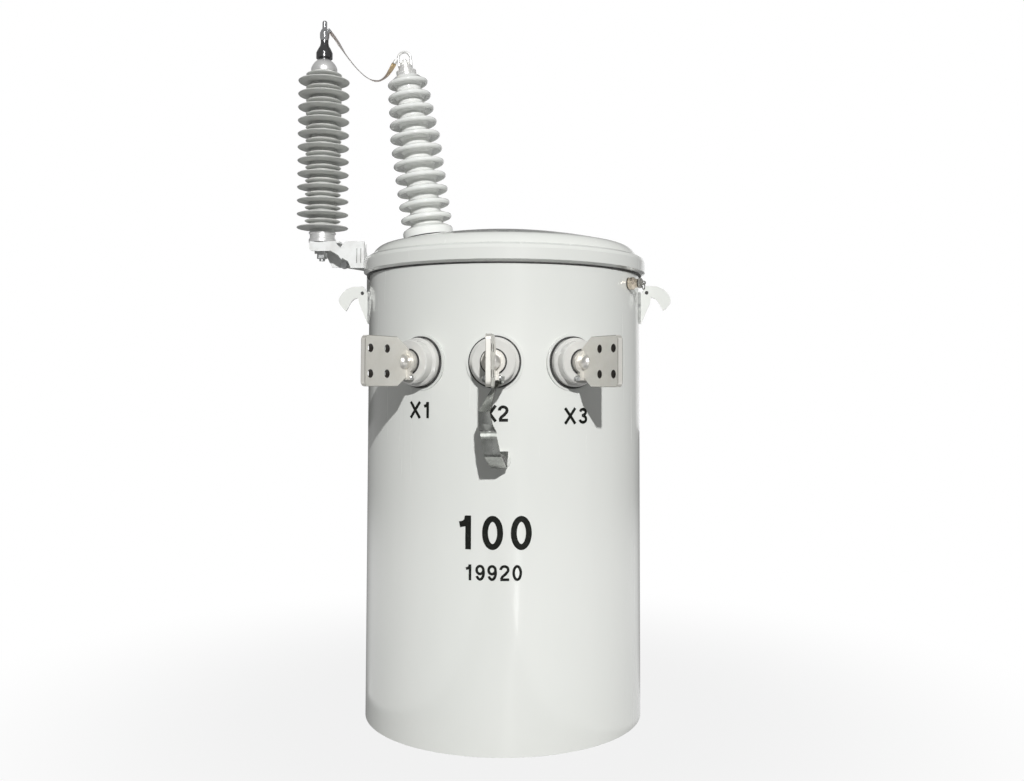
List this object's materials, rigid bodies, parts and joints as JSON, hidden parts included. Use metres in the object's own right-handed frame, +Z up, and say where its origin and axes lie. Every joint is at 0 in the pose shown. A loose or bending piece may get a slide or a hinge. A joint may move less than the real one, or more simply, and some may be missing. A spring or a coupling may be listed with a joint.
{
  "type": "pole mounted transformer",
  "caption": "Single-phase pole mounted transformer: round steel tank, domed cover, tilted porcelain bushing, arrester on a side bracket, jumper lead and low-voltage spade terminals.",
  "frame": {"origin": "centre of the tank's flat underside", "axes": "+Z up the tank's axis, -Y the low-voltage front, +Y the pole side, -X the arrester side"},
  "size_m": [0.7822, 0.786, 1.4366],
  "materials": {
    "tank_paint": "gloss",
    "bracket_paint": "satin",
    "hardware_steel": "satin",
    "core_iron": "matte",
    "hv_glaze": "gloss",
    "lv_glaze": "gloss",
    "arrester_polymer": "satin",
    "cast_aluminium": "satin",
    "plated_terminal": "polished",
    "tinned_bronze": "satin",
    "tinned_strap": "satin",
    "lead_braid": "satin",
    "gasket_rubber": "matte",
    "valve_brass": "satin"
  },
  "bodies": {
    "root": {"arrester_base": "cast_aluminium", "arrester_bracket": "bracket_paint", "arrester_cap": "cast_aluminium", "arrester_clamp": "plated_terminal", "arrester_housing": "arrester_polymer", "arrester_nut": "hardware_steel", "arrester_terminal": "plated_terminal", "band_bolt": "hardware_steel", "core_and_coils": "core_iron", "cover": "tank_paint", "cover_band": "tank_paint", "cover_gasket": "gasket_rubber", "ground_boss": "tank_paint", "ground_pad": "tank_paint", "ground_strap": "tinned_strap", "hanger_lower": "tank_paint", "hanger_upper": "tank_paint", "hv_eye": "plated_terminal", "hv_gasket": "gasket_rubber", "hv_porcelain": "hv_glaze", "hv_terminal": "plated_terminal", "jumper_lead": "lead_braid", "lifting_lug_left": "tank_paint", "lifting_lug_right": "tank_paint", "relief_ring": "valve_brass", "relief_valve": "valve_brass", "tank_bottom": "tank_paint", "tank_wall": "tank_paint", "x1_bushing": "lv_glaze", "x1_gasket": "gasket_rubber", "x1_seal": "gasket_rubber", "x1_spade": "tinned_bronze", "x1_stud": "tinned_bronze", "x2_bushing": "lv_glaze", "x2_gasket": "gasket_rubber", "x2_seal": "gasket_rubber", "x2_spade": "tinned_bronze", "x2_stud": "tinned_bronze", "x3_bushing": "lv_glaze", "x3_gasket": "gasket_rubber", "x3_seal": "gasket_rubber", "x3_spade": "tinned_bronze", "x3_stud": "tinned_bronze"}
  },
  "joints": []
}
